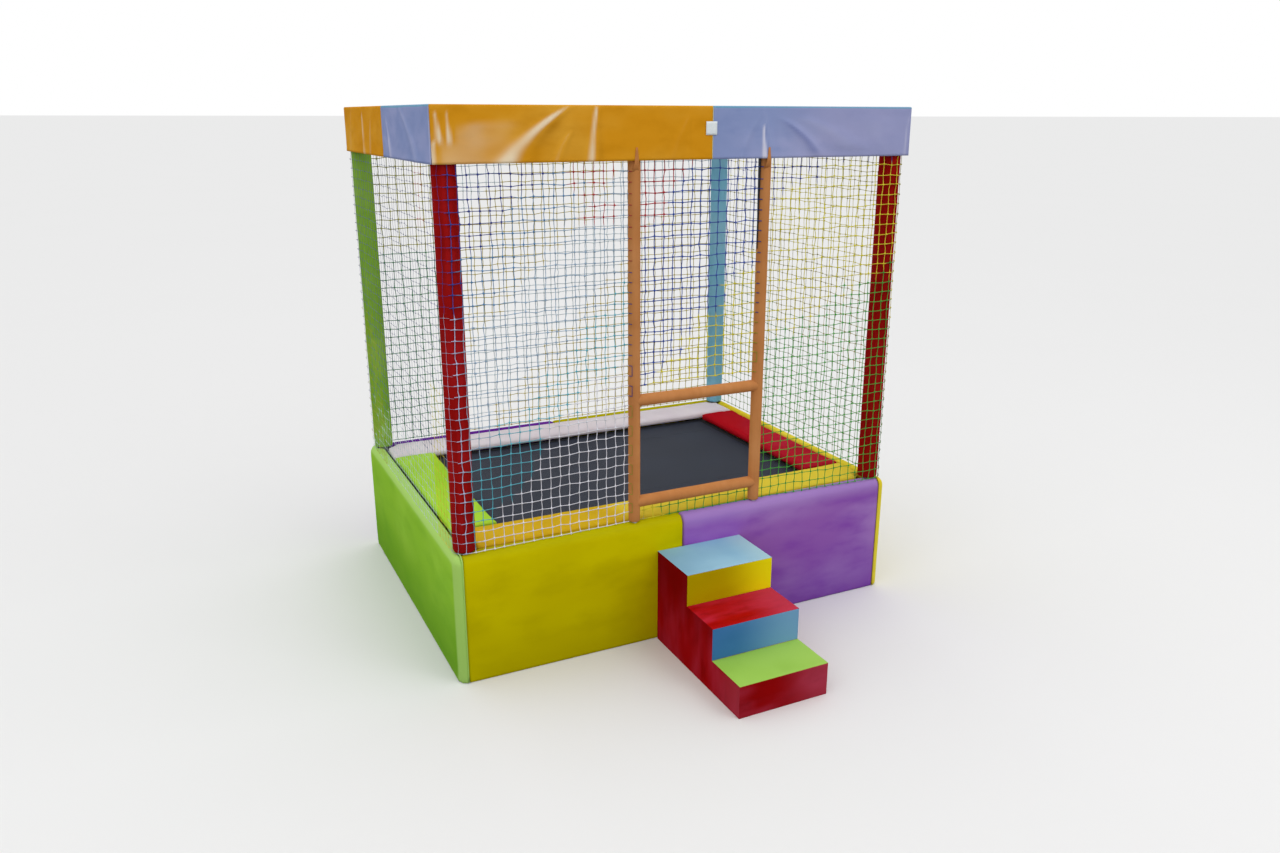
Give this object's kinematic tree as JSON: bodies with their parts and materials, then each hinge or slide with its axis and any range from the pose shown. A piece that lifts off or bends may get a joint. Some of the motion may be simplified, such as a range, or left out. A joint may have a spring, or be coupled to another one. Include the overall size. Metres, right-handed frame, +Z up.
{
  "type": "trampoline",
  "caption": "Indoor soft-play trampoline: sprung bed between padded walls, net enclosure on foam-sleeved posts with a crawl-in doorway, fabric valance and a loose block of steps.",
  "frame": {"origin": "on the floor, at the middle of the whole footprint with the steps included", "axes": "+X to the right along the front, +Y from the front to the back, +Z up"},
  "size_m": [2.5, 2.7002, 2.645],
  "materials": {
    "zinc_steel": "galvanised",
    "frame_enamel": "powder coated",
    "cast_fitting": "hot-dip galvanised",
    "spring_steel": "zinc plated",
    "black_rubber": "matt",
    "bed_fabric": "woven, slightly glossy",
    "webbing": "ribbed",
    "plain_foam": "closed-cell foam",
    "green_cover": "coated fabric, satin",
    "yellow_cover": "coated fabric, satin",
    "purple_cover": "coated fabric, satin",
    "red_cover": "coated fabric, satin",
    "pale_pink_cover": "coated fabric, satin",
    "gold_cover": "coated fabric, satin",
    "blue_cover": "coated fabric, satin",
    "copper_cover": "coated fabric, satin",
    "orange_valance": "coated fabric, glossy",
    "lilac_valance": "coated fabric, glossy",
    "net_cord": "braided cord",
    "tie_tape": "hook-and-loop tape"
  },
  "bodies": {
    "root": {"post_tube_front_left": "zinc_steel", "post_tube_front_right": "zinc_steel", "post_tube_back_left": "zinc_steel", "post_tube_back_right": "zinc_steel", "top_rails": "zinc_steel", "door_frame_tubes": "zinc_steel", "post_foot_plates": "zinc_steel", "top_fittings": "cast_fitting", "bed_frame_brackets": "cast_fitting", "fitting_set_screws": "spring_steel", "springs_front": "spring_steel", "springs_back": "spring_steel", "springs_left": "spring_steel", "springs_right": "spring_steel", "bed_frame": "frame_enamel", "bed_legs": "frame_enamel", "spring_lugs": "frame_enamel", "leg_feet": "black_rubber", "wall_ties": "tie_tape", "wall_left": "green_cover", "post_sleeve_back_left": "green_cover", "wall_right": "yellow_cover", "wall_front_left": "yellow_cover", "wall_back_right": "yellow_cover", "wall_front_right": "purple_cover", "wall_back_left": "purple_cover", "post_sleeve_front_left": "red_cover", "post_sleeve_front_right": "red_cover", "post_sleeve_back_right": "blue_cover", "top_rail_sleeves": "plain_foam", "door_post_sleeve_left": "copper_cover", "door_post_sleeve_right": "copper_cover", "door_bar_sleeve_lower": "copper_cover", "door_bar_sleeve_upper": "copper_cover", "net_left": "net_cord", "net_right": "net_cord", "net_back": "net_cord", "net_front_left": "net_cord", "net_front_right": "net_cord", "net_door_upper": "net_cord", "net_door_lower": "net_cord", "valance_front_left": "orange_valance", "valance_left_back": "orange_valance", "valance_back_right": "orange_valance", "valance_right_front": "orange_valance", "valance_front_right": "lilac_valance", "valance_left_front": "lilac_valance", "valance_back_left": "lilac_valance", "valance_right_back": "lilac_valance"},
    "bed": {"jump_bed": "bed_fabric", "bed_webbing": "webbing", "bed_rings": "spring_steel"},
    "steps": {"step_core": "plain_foam", "step_side_covers": "red_cover", "step_treads": "blue_cover", "step_risers": "yellow_cover"},
    "pad_front_body": {"pad_front": "gold_cover"},
    "pad_back_body": {"pad_back": "pale_pink_cover"},
    "pad_left_body": {"pad_left": "green_cover"},
    "pad_right_body": {"pad_right": "red_cover"}
  },
  "joints": [
    {"name": "bed_bounce", "type": "slide", "parent": "root", "child": "bed", "axis": [0, 0, 1], "range_m": [-0.2, 0], "stiffness_N_per_m": 4000, "springref_m": 0.03, "deforming": ["springs_front", "springs_back", "springs_left", "springs_right"]},
    {"name": "steps_slide", "type": "slide", "parent": "root", "child": "steps", "axis": [0, -1, 0], "range_m": [0, 0.6]},
    {"name": "pad_front_lift", "type": "slide", "parent": "root", "child": "pad_front_body", "axis": [0, 0, 1], "range_m": [0, 0.3]},
    {"name": "pad_back_lift", "type": "slide", "parent": "root", "child": "pad_back_body", "axis": [0, 0, 1], "range_m": [0, 0.3]},
    {"name": "pad_left_lift", "type": "slide", "parent": "root", "child": "pad_left_body", "axis": [0, 0, 1], "range_m": [0, 0.3]},
    {"name": "pad_right_lift", "type": "slide", "parent": "root", "child": "pad_right_body", "axis": [0, 0, 1], "range_m": [0, 0.3]}
  ]
}
